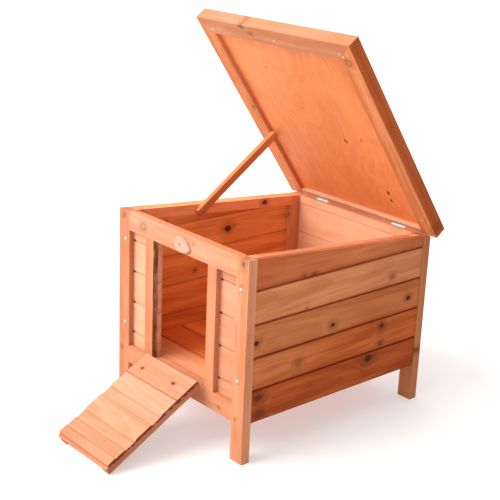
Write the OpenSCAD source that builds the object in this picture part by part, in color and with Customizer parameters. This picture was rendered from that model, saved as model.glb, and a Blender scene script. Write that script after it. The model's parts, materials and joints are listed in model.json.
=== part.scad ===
// Rabbit hutch: a raised timber cabin with a hinged, propped lid and a drop-down ramp door.
// Millimetres, +Z up. The doorway faces -Y, the lid is hinged along the back wall.
// The origin lies on the ground, under the middle of the hutch as it stands open.

/* [Cabin] */
// Width over the corner posts
cabin_w = 450; // [400:10:600]
// Depth over the corner posts
cabin_d = 556; // [520:2:600]
// Height of the front posts
front_h = 458; // [450:2:480]
// Height of the back posts
back_h = 410; // [400:2:430]
// Clear height under the walls
leg_h = 90; // [80:1:95]

/* [Timber] */
// Width of a corner post, along the front
post_w = 38; // [30:1:50]
// Thickness of a corner post
post_t = 22; // [20:1:30]
// Thickness of a wall, floor or ramp board
board_t = 12; // [10:1:14]
// Width that each lapped board covers
board_cover = 74.5; // [70:0.5:80]
// Height of the lap between two boards
board_lap = 6; // [4:1:8]
// Thickness of the front and back frame pieces
frame_t = 13; // [12:1:16]
// Thickness of an inner batten
batten_t = 18; // [16:1:20]
// Width of an inner batten
batten_w = 24; // [20:1:30]
// How far the side boards sit inside the post faces
side_recess = 2; // [1:0.5:4]

/* [Doorway] */
// Width of the doorway
door_w = 190; // [160:5:220]
// Height of the rail over the doorway
header_h = 44; // [36:2:60]
// Height of the sill rail under the doorway
sill_h = 41; // [31:2:51]
// Width of a door jamb
jamb_w = 29; // [20:1:40]

/* [Ramp door] */
// Length of the ramp
ramp_len = 270; // [262:1:276]
// Gap at each side of the closed ramp
ramp_side_gap = 1.5; // [1:0.5:3]
// Width of the board at the top of the ramp
ramp_first_board = 62.5; // [50:0.5:64]
// Width of a full ramp board
ramp_board_w = 76.5; // [70:0.5:77]
// Width of the strip at the foot of the ramp
ramp_strip_w = 23; // [16:1:26]
// Width of a ramp stringer
stringer_w = 20; // [15:1:24]

/* [Lid] */
// Overhang of the lid at each side
lid_side_over = 19; // [14:1:24]
// Length of the lid, back to front
lid_len = 569; // [550:1:600]
// Thickness of the lid's edge
lid_t = 31; // [26:1:36]
// Width of the lid's side and front rails
lid_rail_w = 42; // [36:1:44]
// Width of the lid's hinge rail
lid_hinge_w = 15.5; // [15.5:0.5:30]
// Depth of the recess under the lid's ceiling
lid_recess = 10; // [8:1:12]
// Angle from closed to the propped position
lid_open = 49.2; // [44:0.1:52]

/* [Prop] */
// Distance of the prop's pivot from the front face
prop_y = 206; // [190:1:220]
// Depth of the prop's section
prop_h = 18; // [14:1:22]
// Thickness of the prop
prop_t = 12; // [10:1:14]
// Angle of the propping stick above level
prop_angle = 35; // [33:0.5:38]

/* [Turn button] */
// Reach of the button's tip from its screw
button_reach = 35; // [30:1:40]
// Radius of the button's round end
button_r = 17.5; // [14:0.5:19]
// Thickness of the button
button_t = 5; // [4:1:12]
// Droop of the button's tip at rest
button_droop = 10; // [0:1:15]

/* [Hidden] */
$fn = 48;
eps = 0.01;
slope = atan((front_h - back_h) / cabin_d);
half_w = cabin_w / 2;
inner_w = half_w - side_recess - board_t;
panel_half = half_w - post_w;
batten_x = inner_w - batten_t;
floor_top = leg_h + sill_h;
door_top = front_h - header_h;
panel_back = frame_t + board_t;
board_count = 5;
floor_count = 7;
joint_gap = 0.5;
groove = 1.6;

// Lid: its own frame has the roof plane at z = 0 and the back top edge of the wall at y = 0
lid_gap = 0.6;
lid_back = -0.8;
lid_half = half_w + lid_side_over;
lid_front = lid_back - lid_len;
lid_top = lid_gap + lid_t;
ceiling_t = 6;
felt_t = 1.6;
felt_inset = 4;
lid_lip = 10;
hinge_lip = 6;
rail_gap = 1;

// Hinges: three knuckles on a pin, a flat leaf at each side
knuckle_r = 2.8;
pin_r = 1.5;
pin_play = 0.05;
leaf_t = 1.4;
leaf_len = 42;
leaf_depth = 13.5;
lid_hinge_x = 128;
ramp_hinge_x = 38;
lid_axis_y = -1;
lid_axis_z = lid_gap / 2;
leaf_drop = 0.35;
knuckle_gap = 0.4;
hinge_screw_r = 1.6;
hinge_head_r = 2.9;
hinge_screw_len = 9;
hinge_screw_x = 13;
hinge_screw_y = 9.4;

// Ramp: its own frame is the closed door, with the outer face at y = 0
ramp_half = door_w / 2 - ramp_side_gap;
ramp_bottom = 1.5;
ramp_axis_y = -3.2;
ramp_axis_z = floor_top - 1;
stringer_t = 10;
ramp_t = stringer_t + board_t;
stringer_inset = 3;
ledge_w = 24;
ramp_drop = -ramp_axis_y - leaf_t;
ramp_arm = floor_top + ramp_bottom + ramp_len - ramp_axis_z;
ramp_reach = sqrt(ramp_arm * ramp_arm + ramp_axis_y * ramp_axis_y);
ramp_slope = asin(ramp_axis_z / ramp_reach) + atan(-ramp_axis_y / ramp_arm);
ramp_turn = 90 + ramp_slope;
cove_start = 43;
cove_depth = 2.4;
strip_t = 5.5;
strip_rise = 1.5;
strip_end = 6;

// Prop and turn button
prop_x = batten_x - 0.5;
prop_z = front_h - prop_y * tan(slope) - 13;
prop_end = 11;
prop_short = 5.1;
prop_bevel = 4.6;
pivot_r = 2;
pivot_play = 0.05;
button_gap = 0.5;
button_x = 4;
button_z = front_h - 23.5;

// Corner screws
screw_r = 2.2;
screw_len = 60;
screw_head_r = 5.6;
screw_head_t = 2.8;
screw_x = half_w - 23;
screw_levels = [185, 388];
back_screw_levels = [185, 362];

// Whole hutch: middle of its depth, from the ramp's foot to the back edge of the open lid
lid_turn = slope + lid_open;
hinge_y = cabin_d + lid_axis_y * cos(slope) + lid_axis_z * sin(slope);
hinge_z = back_h - lid_axis_y * sin(slope) + lid_axis_z * cos(slope);
back_most = hinge_y + (lid_back - lid_axis_y) * cos(lid_turn) + (lid_top - lid_axis_z) * sin(lid_turn);
front_most = ramp_axis_y - (ramp_t + strip_rise - ramp_axis_y) * sin(ramp_slope)
    - ramp_arm * cos(ramp_slope);
middle_y = (back_most + front_most) / 2;

// Prop's length: its end stops a little short of the raised ceiling and is bevelled, so that
// one steady ratio can swing it down past the lid as the lid closes
ceiling_n = lid_gap + lid_recess - lid_axis_z;
pivot_n = (prop_y - hinge_y) * sin(lid_turn) + (prop_z - hinge_z) * cos(lid_turn);
lean = abs(90 - lid_turn - prop_angle);
prop_len = (ceiling_n - pivot_n) / cos(lean) - prop_short;

light_fir = [0.93, 0.66, 0.5];
warm_fir = [0.84, 0.52, 0.34];
dark_fir = [0.66, 0.4, 0.27];
steel = [0.78, 0.78, 0.76];

// ---------------------------------------------------------------- helpers

// Puts the cabin's frame, with y = 0 at the front face, into the hutch's own frame
module place() {
    translate([0, -middle_y, 0]) children();
}

// A solid block between two corners
module block(low, high) {
    translate(low) cube(high - low);
}

// Everything below the sloping top of the walls
module under_roof() {
    rotate([90, 0, 90])
        translate([0, 0, -cabin_w])
            linear_extrude(2 * cabin_w)
                polygon([
                    [-eps, -eps],
                    [cabin_d + eps, -eps],
                    [cabin_d + eps, back_h - eps * tan(slope)],
                    [-eps, front_h + eps * tan(slope)]
                ]);
}

// Extrudes an outline drawn in (y, z) along x, from x0 to x1
module along_x(x0, x1) {
    translate([x0, 0, 0])
        rotate([90, 0, 90])
            linear_extrude(x1 - x0) children();
}

// Outline of a lapped board: x is the depth from the outer face, y is the height
module lap_outline(low, high, first, last) {
    gap = last ? 0 : joint_gap;
    foot = first ? 0 : board_lap;
    head = last ? 0 : board_lap;
    polygon([
        [groove, low],
        [board_t / 2, low],
        [board_t / 2, low + foot],
        [board_t, low + foot],
        [board_t, high + head - gap],
        [board_t / 2, high + head - gap],
        [board_t / 2, high - gap],
        [last ? 0 : groove, high - gap],
        [0, high - gap - (last ? 0 : groove)],
        [0, low + groove]
    ]);
}

// Height of the lower edge of wall board number i, counted from 1
function board_low(i) = leg_h + (i - 1) * board_cover;

// ---------------------------------------------------------------- cabin

module post(side, at_back) {
    y0 = at_back ? cabin_d - post_t : 0;
    x0 = side * (half_w - post_w / 2);
    outward = at_back ? 1 : -1;
    face = at_back ? cabin_d : 0;
    color(light_fir) place() difference() {
        intersection() {
            block([x0 - post_w / 2, y0, 0], [x0 + post_w / 2, y0 + post_t, front_h]);
            under_roof();
        }
        for (z = at_back ? back_screw_levels : screw_levels)
            translate([side * screw_x, face, z])
                rotate([outward * 90, 0, 0])
                    translate([0, 0, -1]) cylinder(r = screw_r, h = post_t + 2);
    }
}

// Rail over the doorway, with a rounded upper edge
module header_rail() {
    round_r = 5;
    color(light_fir) place() difference() {
        along_x(-panel_half, panel_half)
            difference() {
                union() {
                    translate([0, door_top]) square([frame_t, header_h - round_r]);
                    translate([round_r, door_top])
                        square([frame_t - round_r, header_h - round_r * tan(slope)]);
                    translate([round_r, front_h - round_r]) circle(r = round_r);
                }
                translate([-1, front_h + tan(slope)])
                    rotate(-slope) square([3 * frame_t, header_h]);
            }
        translate([button_x, -1, button_z])
            rotate([-90, 0, 0]) cylinder(r = pivot_r, h = frame_t);
    }
}

module sill_rail() {
    color(light_fir) place() difference() {
        block([-panel_half, 0, leg_h], [panel_half, frame_t, floor_top]);
        ramp_hinge_places() screw_holes(ramp_drop);
    }
}

module jamb(side) {
    x = side * (door_w + jamb_w) / 2;
    color(light_fir) place()
        block([x - jamb_w / 2, 0, floor_top], [x + jamb_w / 2, frame_t, door_top]);
}

module header_board() {
    color(warm_fir) place() intersection() {
        block([-panel_half, frame_t, door_top], [panel_half, panel_back, front_h]);
        under_roof();
    }
}

module threshold_board() {
    color(warm_fir) place()
        block([-door_w / 2, frame_t, leg_h], [door_w / 2, panel_back, floor_top]);
}

// Lapped boards of the front panel, between the doorway and one post
module front_boards(side) {
    inner = door_w / 2;
    x0 = side > 0 ? inner : -panel_half;
    color(light_fir) place()
        for (i = [1 : board_count])
            along_x(x0, x0 + panel_half - inner)
                translate([frame_t, 0])
                    lap_outline(board_low(i), min(board_low(i + 1), door_top),
                        i == 1, i == board_count);
}

// Board number i of a side wall
module wall_board(side, i) {
    last = i == board_count;
    color(side > 0 ? dark_fir : warm_fir) place() intersection() {
        translate([side * (half_w - side_recess), cabin_d - post_t, 0])
            mirror([side > 0 ? 1 : 0, 0, 0])
                rotate([90, 0, 0])
                    linear_extrude(cabin_d - 2 * post_t)
                        lap_outline(board_low(i), last ? front_h : board_low(i + 1),
                            i == 1, last);
        under_roof();
    }
}

module back_boards() {
    color(warm_fir) place() difference() {
        intersection() {
            translate([0, cabin_d, 0])
                mirror([0, 1, 0])
                    for (i = [1 : board_count])
                        along_x(-panel_half, panel_half)
                            translate([frame_t, 0])
                                lap_outline(board_low(i),
                                    i == board_count ? front_h : board_low(i + 1),
                                    i == 1, i == board_count);
            under_roof();
        }
        wall_hinge_places() leaf_seat();
    }
}

module back_top_rail() {
    color(warm_fir) place() difference() {
        intersection() {
            block([-panel_half, cabin_d - frame_t, back_h - header_h],
                [panel_half, cabin_d, front_h]);
            under_roof();
        }
        wall_hinge_places() leaf_seat();
    }
}

module back_bottom_rail() {
    color(warm_fir) place()
        block([-panel_half, cabin_d - frame_t, leg_h], [panel_half, cabin_d, floor_top]);
}

// Upright batten behind a post, which takes the corner screws
module corner_batten(side, at_back) {
    y0 = at_back ? cabin_d - post_t - batten_w : post_t;
    x0 = side * (batten_x + batten_t / 2);
    levels = at_back ? back_screw_levels : screw_levels;
    color(warm_fir) place() difference() {
        intersection() {
            block([x0 - batten_t / 2, y0, floor_top], [x0 + batten_t / 2, y0 + batten_w, front_h]);
            under_roof();
        }
        for (z = levels)
            translate([side * screw_x, y0 - 1, z])
                rotate([-90, 0, 0]) cylinder(r = screw_r, h = batten_w + 2);
    }
}

// Sloping batten along the top of a side wall
module top_batten(side) {
    y0 = post_t + batten_w;
    x0 = side * (batten_x + batten_t / 2);
    color(warm_fir) place() difference() {
        intersection() {
            block([x0 - batten_t / 2, y0, leg_h], [x0 + batten_t / 2, cabin_d - y0, front_h]);
            under_roof();
            translate([0, 0, front_h - batten_w])
                rotate([-slope, 0, 0])
                    block([-cabin_w, -cabin_d, 0], [cabin_w, 2 * cabin_d, front_h]);
        }
        if (side < 0)
            translate([-prop_x - 0.5 - batten_t - 1, prop_y, prop_z])
                rotate([0, 90, 0]) cylinder(r = pivot_r, h = batten_t + 2);
    }
}

module floor_bearer(side) {
    x0 = side * (batten_x + batten_t / 2);
    color(warm_fir) place()
        block([x0 - batten_t / 2, panel_back, floor_top - board_t - batten_w],
            [x0 + batten_t / 2, cabin_d - panel_back, floor_top - board_t]);
}

// Floor boards, laid across the cabin; the last one is ripped to fit
module floor_boards() {
    low = floor_top - board_t;
    color(warm_fir) place()
        for (i = [0 : floor_count - 1])
            let (y0 = panel_back + i * board_cover,
                 y1 = min(y0 + board_cover, cabin_d - panel_back) - joint_gap)
                along_x(-inner_w, inner_w)
                    polygon([[y0, low], [y1, low], [y1, floor_top - 1], [y1 - 1, floor_top],
                        [y0 + 1, floor_top], [y0, floor_top - 1]]);
}

// ---------------------------------------------------------------- fasteners

// Round-headed screw along +z, with the underside of its head at z = 0
module round_screw(shank_r, shank_len, head_r, head_t) {
    dome_r = (head_r * head_r + head_t * head_t) / (2 * head_t);
    translate([0, 0, -shank_len]) cylinder(r = shank_r, h = shank_len + eps);
    intersection() {
        translate([0, 0, head_t - dome_r]) sphere(r = dome_r, $fn = 64);
        cylinder(r = head_r + 1, h = head_t + 1);
    }
}

module cabin_screws() {
    color(steel) place() {
        for (side = [-1, 1], z = screw_levels)
            translate([side * screw_x, 0, z])
                rotate([90, 0, 0]) round_screw(screw_r, screw_len, screw_head_r, screw_head_t);
        for (side = [-1, 1], z = back_screw_levels)
            translate([side * screw_x, cabin_d, z])
                rotate([-90, 0, 0]) round_screw(screw_r, screw_len, screw_head_r, screw_head_t);
        wall_hinge_places() leaf_screw_places(leaf_drop) hinge_screw();
        ramp_hinge_places() leaf_screw_places(ramp_drop) hinge_screw();
    }
}

module prop_screw() {
    color(steel) place()
        translate([-prop_x + prop_t + 0.4, prop_y, prop_z])
            rotate([0, 90, 0]) round_screw(pivot_r, prop_t + batten_t, 4, 2.2);
}

module button_screw() {
    color(steel) place()
        translate([button_x, -button_gap - button_t - 0.3, button_z])
            rotate([90, 0, 0])
                round_screw(pivot_r, button_gap + button_t + 0.3 + frame_t - 1, 3.4, 1.5);
}

// ---------------------------------------------------------------- hinges
// A hinge's own frame: the pin lies along x at the origin, and the leaf lies towards -y
// with its outer surface at z = -drop

// Both screws of one leaf
module leaf_screw_places(drop) {
    for (x = [-hinge_screw_x, hinge_screw_x])
        translate([x, -hinge_screw_y, -drop]) children();
}

// One hinge leaf with its knuckles; the middle knuckle belongs to the moving leaf
module hinge_leaf(moving, drop) {
    edge = leaf_len / 6 - knuckle_gap / 2;
    third = leaf_len / 6 + knuckle_gap / 2;
    spans = moving ? [[-edge, edge]] : [[-leaf_len / 2, -third], [third, leaf_len / 2]];
    root = -knuckle_r - knuckle_gap;
    difference() {
        union() {
            block([-leaf_len / 2, -leaf_depth, -drop - leaf_t], [leaf_len / 2, root, -drop]);
            for (s = spans) {
                block([s[0], root - 1, -drop - leaf_t], [s[1], 0, -drop]);
                translate([s[0], 0, 0])
                    rotate([0, 90, 0]) cylinder(r = knuckle_r, h = s[1] - s[0]);
            }
        }
        translate([-leaf_len, 0, 0])
            rotate([0, 90, 0]) cylinder(r = pin_r + pin_play, h = 2 * leaf_len);
        leaf_screw_places(drop)
            translate([0, 0, -2 * leaf_t]) cylinder(r = hinge_head_r, h = 3 * leaf_t);
    }
}

// Flat-headed hinge screw along +z, with the top of its head at z = 0
module hinge_screw() {
    translate([0, 0, -leaf_t]) cylinder(r = hinge_head_r, h = leaf_t);
    translate([0, 0, -hinge_screw_len]) cylinder(r = hinge_screw_r, h = hinge_screw_len);
}

module hinge_pin() {
    translate([-leaf_len / 2, 0, 0])
        rotate([0, 90, 0]) cylinder(r = pin_r, h = leaf_len);
}

// Pilot holes for a leaf's screws
module screw_holes(drop) {
    leaf_screw_places(drop)
        translate([0, 0, -hinge_screw_len]) cylinder(r = hinge_screw_r, h = hinge_screw_len + 2);
}

// Seat of a lid hinge leaf in the timber, with room for the knuckles and its pilot holes
module leaf_seat() {
    block([-leaf_len / 2, -leaf_depth, -leaf_drop - leaf_t], [leaf_len / 2, 20, 10]);
    translate([-leaf_len / 2 - knuckle_gap, 0, 0])
        rotate([0, 90, 0])
            cylinder(r = knuckle_r + knuckle_gap, h = leaf_len + 2 * knuckle_gap);
    screw_holes(leaf_drop);
}

// The two lid hinges, in the lid's frame
module lid_hinge_places() {
    for (side = [-1, 1])
        translate([side * lid_hinge_x, lid_axis_y, lid_axis_z]) children();
}

// The two lid hinges, on the back wall's sloping top
module wall_hinge_places() {
    translate([0, cabin_d, back_h]) rotate([-slope, 0, 0]) lid_hinge_places() children();
}

// The two ramp hinges, on the sill's face
module ramp_hinge_places() {
    for (side = [-1, 1])
        translate([side * ramp_hinge_x, ramp_axis_y, ramp_axis_z])
            rotate([90, 0, 0]) children();
}

module cabin_hinge_leaves() {
    color(steel) place() {
        wall_hinge_places() hinge_leaf(false, leaf_drop);
        ramp_hinge_places() hinge_leaf(false, ramp_drop);
    }
}

module hinge_pins() {
    color(steel) place() {
        wall_hinge_places() hinge_pin();
        ramp_hinge_places() hinge_pin();
    }
}

// ---------------------------------------------------------------- lid

// Puts the lid's frame, drawn shut with the roof plane at z = 0, into its raised position
module lid_place() {
    place()
        translate([0, cabin_d, back_h])
            rotate([-slope, 0, 0])
                translate([0, lid_axis_y, lid_axis_z])
                    rotate([-lid_open, 0, 0])
                        translate([0, -lid_axis_y, -lid_axis_z]) children();
}

// Side rail: full length, mitred at its front end
module lid_rail_side(side) {
    color(light_fir) lid_place() mirror([side > 0 ? 0 : 1, 0, 0])
        for (level = [[0, lid_recess, lid_rail_w], [lid_recess, lid_t, lid_rail_w - lid_lip]])
            translate([0, 0, lid_gap + level[0]])
                linear_extrude(level[1] - level[0])
                    polygon([
                        [lid_half, lid_back],
                        [lid_half - level[2], lid_back],
                        [lid_half - level[2], lid_front + level[2]],
                        [lid_half, lid_front]
                    ]);
}

// Front rail: mitred into both side rails
module lid_rail_front() {
    color(light_fir) lid_place()
        for (level = [[0, lid_recess, lid_rail_w], [lid_recess, lid_t, lid_rail_w - lid_lip]])
            translate([0, 0, lid_gap + level[0]])
                linear_extrude(level[1] - level[0])
                    polygon([
                        [-lid_half, lid_front],
                        [lid_half, lid_front],
                        [lid_half - level[2], lid_front + level[2]],
                        [level[2] - lid_half, lid_front + level[2]]
                    ]);
}

// Hinge rail, set between the side rails
module lid_rail_hinge() {
    reach = lid_half - lid_rail_w - rail_gap;
    color(warm_fir) lid_place() difference() {
        union() {
            block([-reach, lid_back - lid_hinge_w, lid_gap], [reach, lid_back, lid_gap + lid_recess]);
            block([-reach, lid_back - lid_hinge_w + hinge_lip, lid_gap + lid_recess - eps],
                [reach, lid_back, lid_top]);
        }
        lid_hinge_places() mirror([0, 0, 1]) leaf_seat();
    }
}

// Sheet lying in the rebate of the lid's frame
module lid_sheet(low, high) {
    reach = lid_half - lid_rail_w + lid_lip;
    block([-reach, lid_front + lid_rail_w - lid_lip, low],
        [reach, lid_back - lid_hinge_w + hinge_lip, high]);
}

module lid_ceiling() {
    color(warm_fir) lid_place()
        lid_sheet(lid_gap + lid_recess, lid_gap + lid_recess + ceiling_t);
}

module roof_deck() {
    color(warm_fir) lid_place() lid_sheet(lid_gap + lid_recess + ceiling_t, lid_top);
}

module roof_felt() {
    color([0.32, 0.36, 0.33]) lid_place()
        block([felt_inset - lid_half, lid_front + felt_inset, lid_top],
            [lid_half - felt_inset, lid_back - felt_inset, lid_top + felt_t]);
}

module lid_hinge_leaves() {
    color(steel) lid_place() lid_hinge_places() mirror([0, 0, 1]) hinge_leaf(true, leaf_drop);
}

module lid_hinge_screws() {
    color(steel) lid_place() lid_hinge_places()
        mirror([0, 0, 1]) leaf_screw_places(leaf_drop) hinge_screw();
}

// ---------------------------------------------------------------- prop and turn button

module prop_stick() {
    color(light_fir) place() difference() {
        translate([-prop_x, prop_y, prop_z])
            rotate([prop_angle, 0, 0])
                along_x(0, prop_t)
                    polygon([
                        [-prop_end, -prop_h / 2],
                        [prop_len, -prop_h / 2],
                        [prop_len - prop_bevel, prop_h / 2],
                        [-prop_end, prop_h / 2]
                    ]);
        translate([-prop_x - 1, prop_y, prop_z])
            rotate([0, 90, 0]) cylinder(r = pivot_r + pivot_play, h = prop_t + 2);
    }
}

// Teardrop seen from the front: a round end about the screw, with bowed sides to a blunt tip
module turn_button() {
    side_r = (button_reach * button_reach + button_r * button_r) / (2 * button_r);
    color(light_fir) place()
        translate([button_x, -button_gap, button_z])
            rotate([90, button_droop, 0])
                difference() {
                    linear_extrude(button_t)
                        union() {
                            circle(r = button_r);
                            intersection() {
                                translate([0, side_r - button_r]) circle(r = side_r);
                                translate([0, button_r - side_r]) circle(r = side_r);
                                translate([0, -button_r])
                                    square([button_reach - 1, 2 * button_r]);
                            }
                        }
                    translate([0, 0, -1]) cylinder(r = pivot_r + pivot_play, h = button_t + 2);
                }
}

// ---------------------------------------------------------------- ramp

// Puts the ramp's frame, drawn shut in the doorway, into its lowered position
module ramp_place() {
    place()
        translate([0, ramp_axis_y, ramp_axis_z])
            rotate([ramp_turn, 0, 0])
                translate([0, -ramp_axis_y, -ramp_axis_z]) children();
}

// Crosswise board from s0 to s1 along the ramp, hollowed below its step when it has one
module ramp_plank(s0, s1, stepped) {
    low = floor_top + ramp_bottom + s0 + joint_gap / 2;
    high = floor_top + ramp_bottom + s1 - joint_gap / 2;
    step = low + cove_start;
    along_x(-ramp_half, ramp_half)
        polygon(concat(
            [[stringer_t, low], [ramp_t - 0.8, low], [ramp_t, low + 0.8]],
            stepped
                ? [[ramp_t, step], [ramp_t - 1.4, step + 3], [ramp_t - cove_depth, step + 9],
                   [ramp_t - cove_depth, high]]
                : [[ramp_t, high - 0.8], [ramp_t - 0.8, high]],
            [[stringer_t, high]]
        ));
}

// Board number i of the ramp, counted from the hinge
module ramp_board(i) {
    s0 = i == 1 ? 0 : ramp_first_board + (i - 2) * ramp_board_w;
    s1 = min(ramp_first_board + (i - 1) * ramp_board_w, ramp_len);
    color(light_fir) ramp_place() difference() {
        ramp_plank(s0, s1, i > 1 && i < 4);
        if (i == 4)
            translate([0, 0, floor_top + ramp_bottom + ramp_len - strip_end - ramp_strip_w])
                block([-ramp_half - 1, ramp_t + strip_rise - strip_t, 0],
                    [ramp_half + 1, ramp_t + 1, ramp_strip_w + strip_end + 1]);
    }
}

// Raised strip across the foot of the ramp
module ramp_foot_strip() {
    top = ramp_t + strip_rise;
    color(light_fir) ramp_place()
        translate([0, 0, floor_top + ramp_bottom + ramp_len - strip_end - ramp_strip_w])
            along_x(-ramp_half, ramp_half)
                polygon([
                    [top - strip_t, 0], [top - 1, 0], [top, 1], [top, ramp_strip_w - 2],
                    [top - 2, ramp_strip_w], [top - strip_t, ramp_strip_w]
                ]);
}

module ramp_stringer(side) {
    x = side * (ramp_half - stringer_inset - stringer_w / 2);
    low = floor_top + ramp_bottom;
    color(dark_fir) ramp_place()
        block([x - stringer_w / 2, 0, low], [x + stringer_w / 2, stringer_t, low + ramp_len]);
}

// Crosspiece under the top board, which carries the ramp's hinges
module ramp_ledge() {
    reach = ramp_half - stringer_inset - stringer_w;
    low = floor_top + ramp_bottom;
    color(dark_fir) ramp_place() difference() {
        block([-reach, 0, low], [reach, stringer_t, low + ledge_w]);
        ramp_hinge_places() mirror([0, 1, 0]) screw_holes(ramp_drop);
    }
}

module ramp_hinge_leaves() {
    color(steel) ramp_place() ramp_hinge_places()
        mirror([0, 1, 0]) hinge_leaf(true, ramp_drop);
}

module ramp_hinge_screws() {
    color(steel) ramp_place() ramp_hinge_places()
        mirror([0, 1, 0]) leaf_screw_places(ramp_drop) hinge_screw();
}

// ---------------------------------------------------------------- assembly

post(-1, false);  // post_front_left
post(1, false);  // post_front_right
post(-1, true);  // post_back_left
post(1, true);  // post_back_right
header_rail();
sill_rail();
jamb(-1);  // jamb_left
jamb(1);  // jamb_right
header_board();
threshold_board();
front_boards(-1);  // front_boards_left
front_boards(1);  // front_boards_right
wall_board(-1, 1);  // left_wall_board_1
wall_board(-1, 2);  // left_wall_board_2
wall_board(-1, 3);  // left_wall_board_3
wall_board(-1, 4);  // left_wall_board_4
wall_board(-1, 5);  // left_wall_board_5
wall_board(1, 1);  // right_wall_board_1
wall_board(1, 2);  // right_wall_board_2
wall_board(1, 3);  // right_wall_board_3
wall_board(1, 4);  // right_wall_board_4
wall_board(1, 5);  // right_wall_board_5
back_boards();
back_top_rail();
back_bottom_rail();
corner_batten(-1, false);  // batten_front_left
corner_batten(1, false);  // batten_front_right
corner_batten(-1, true);  // batten_back_left
corner_batten(1, true);  // batten_back_right
top_batten(-1);  // top_batten_left
top_batten(1);  // top_batten_right
floor_bearer(-1);  // floor_bearer_left
floor_bearer(1);  // floor_bearer_right
floor_boards();
cabin_screws();
cabin_hinge_leaves();
hinge_pins();
prop_screw();
button_screw();
lid_rail_side(-1);  // lid_rail_left
lid_rail_side(1);  // lid_rail_right
lid_rail_front();
lid_rail_hinge();
lid_ceiling();
roof_deck();
roof_felt();
lid_hinge_leaves();
lid_hinge_screws();
prop_stick();
turn_button();
ramp_board(1);  // ramp_board_1
ramp_board(2);  // ramp_board_2
ramp_board(3);  // ramp_board_3
ramp_board(4);  // ramp_board_4
ramp_foot_strip();
ramp_stringer(-1);  // ramp_stringer_left
ramp_stringer(1);  // ramp_stringer_right
ramp_ledge();
ramp_hinge_leaves();
ramp_hinge_screws();
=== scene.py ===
"""Rabbit hutch: timber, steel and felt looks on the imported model, with a camera, a floor and studio light.

Lengths are in metres. Places on a body are in that body's own frame, as FRAMES gives it.
"""

import json
import math
from collections import namedtuple

import bmesh
import bpy
from mathutils import Matrix, Vector


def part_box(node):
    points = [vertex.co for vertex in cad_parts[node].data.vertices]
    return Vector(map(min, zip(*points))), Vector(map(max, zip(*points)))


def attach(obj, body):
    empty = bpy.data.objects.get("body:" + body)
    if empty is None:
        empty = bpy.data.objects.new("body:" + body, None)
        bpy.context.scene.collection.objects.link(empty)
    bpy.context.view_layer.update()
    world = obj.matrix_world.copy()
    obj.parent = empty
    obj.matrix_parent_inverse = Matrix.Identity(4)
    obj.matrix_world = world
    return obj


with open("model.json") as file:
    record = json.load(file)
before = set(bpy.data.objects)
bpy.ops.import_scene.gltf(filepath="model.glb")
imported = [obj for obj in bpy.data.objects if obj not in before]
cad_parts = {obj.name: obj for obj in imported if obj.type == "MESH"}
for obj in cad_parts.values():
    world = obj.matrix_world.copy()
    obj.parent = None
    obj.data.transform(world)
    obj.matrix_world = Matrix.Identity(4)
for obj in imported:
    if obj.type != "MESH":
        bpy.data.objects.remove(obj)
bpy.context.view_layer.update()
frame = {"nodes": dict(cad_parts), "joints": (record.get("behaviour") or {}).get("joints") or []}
scene = bpy.context.scene

# ------------------------------------------------------------------ camera
LENS_MM = 81.91
SENSOR_MM = 36.0
CAMERA_PLACE = (1.82132, -1.585, 1.19639)
CAMERA_TURN_DEG = (71.4927, -2.3085, 49.0865)


def add_camera():
    """Camera at the photograph's viewing angle."""
    data = bpy.data.cameras.new("camera")
    data.lens = LENS_MM
    data.sensor_width = SENSOR_MM
    data.clip_end = 50.0
    camera = bpy.data.objects.new("camera", data)
    camera.location = CAMERA_PLACE
    camera.rotation_euler = [math.radians(angle) for angle in CAMERA_TURN_DEG]
    scene.collection.objects.link(camera)
    scene.camera = camera


add_camera()

# ------------------------------------------------------------------ frames of the moving parts
JOINTS = {joint["name"]: joint for joint in frame["joints"]}
ROOF_SLOPE_DEG = 4.934
LID_OPEN_DEG = 49.2
RAMP_DROP_DEG = 29.1645
PROP_LEAN_DEG = 35.0
# the hinge pins' places in the lid's and the ramp's own frames, and the prop's pivot in its own
LID_PIN = (0.0, -0.001, 0.0003)
RAMP_PIN = (0.0, -0.0032, -0.0025)
PROP_PIVOT = (0.0, 0.0, 0.0)


def body_frame(joint, turn_deg, pin):
    """Frame of a body that turns about the x axis: its pin is put on the joint and the body is turned."""
    place = Vector(JOINTS[joint]["pos_m"])
    place.x = 0.0
    turn = Matrix.Rotation(math.radians(turn_deg), 4, "X")
    return Matrix.Translation(place) @ turn @ Matrix.Translation(-Vector(pin))


# the cabin's frame starts on the ground, at the front posts' faces
CABIN = Matrix.Translation((0.0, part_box("post_front_right")[0].y, 0.0))
LID = body_frame("lid_hinge", -(ROOF_SLOPE_DEG + LID_OPEN_DEG), LID_PIN)
RAMP = body_frame("ramp_hinge", 90.0 + RAMP_DROP_DEG, RAMP_PIN)
PROP = body_frame("prop_fold", PROP_LEAN_DEG, PROP_PIVOT)
FRAMES = {"cabin": CABIN, "lid": LID, "ramp": RAMP, "prop": PROP, "button": CABIN}


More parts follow.
